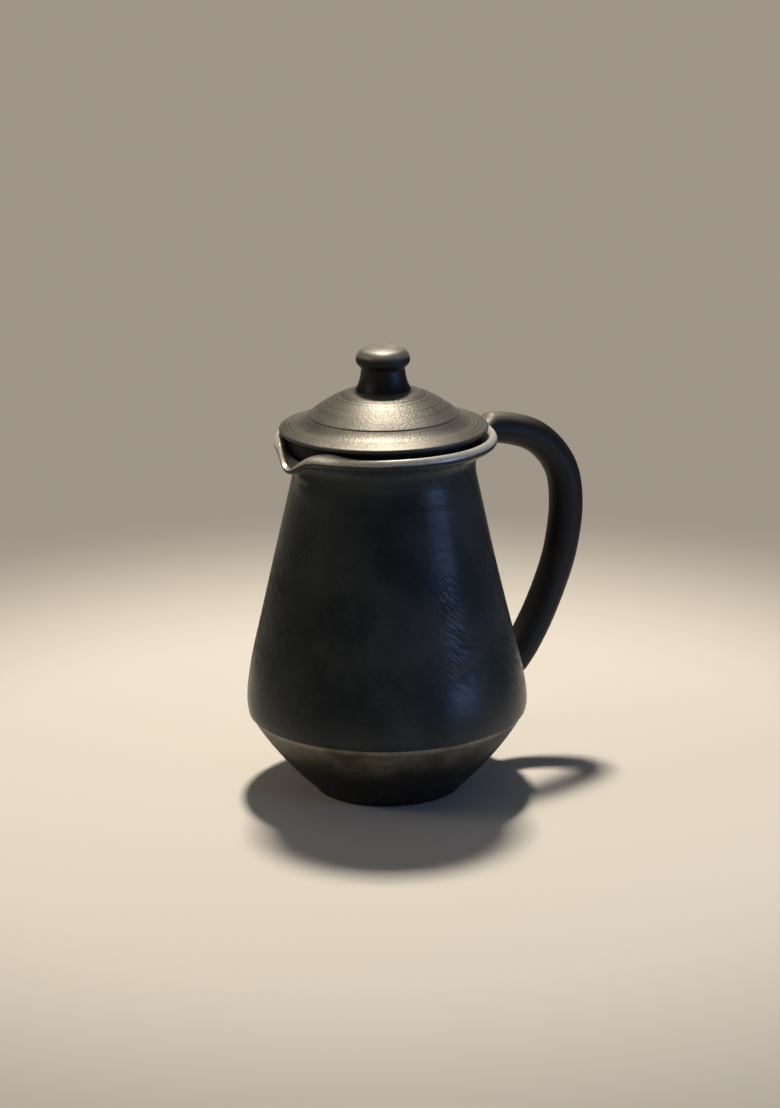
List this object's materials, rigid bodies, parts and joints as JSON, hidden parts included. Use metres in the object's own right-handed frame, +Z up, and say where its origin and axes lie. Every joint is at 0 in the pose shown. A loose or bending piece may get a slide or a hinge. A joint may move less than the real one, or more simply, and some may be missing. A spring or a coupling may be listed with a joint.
{
  "type": "lidded clay water jug",
  "caption": "Black-fired clay water jug with a tapering body, pulled spout, looped coil handle and a loose domed lid that lifts off by its knob.",
  "frame": {"origin": "centre of the foot's flat underside", "axes": "+Z up along the jug's axis, +X towards the handle, -X towards the spout"},
  "size_m": [0.2184, 0.163, 0.2615],
  "materials": {
    "body_wall": "burnished black-fired clay, satin",
    "body_cone": "black-fired clay, less burnished, brown-grey towards the turn of the belly",
    "handle": "hand-smoothed black-fired clay, satin",
    "lid": "burnished to a pewter-like sheen, with fine turning lines",
    "lid_underside": "matt black-fired clay"
  },
  "bodies": {
    "jug": {"lower_bowl": "body_cone", "upper_wall": "body_wall", "rim_collar": "body_wall", "handle_coil": "handle", "handle_top_luting": "handle", "handle_bottom_luting": "handle"},
    "lid": {"lid_dome": "lid", "lid_locating_ring": "lid_underside", "lid_knob": "lid"}
  },
  "joints": [
    {"name": "lid_lift", "type": "slide", "parent": "jug", "child": "lid", "axis": [0, 0, 1], "range_m": [0, 0.12]}
  ]
}
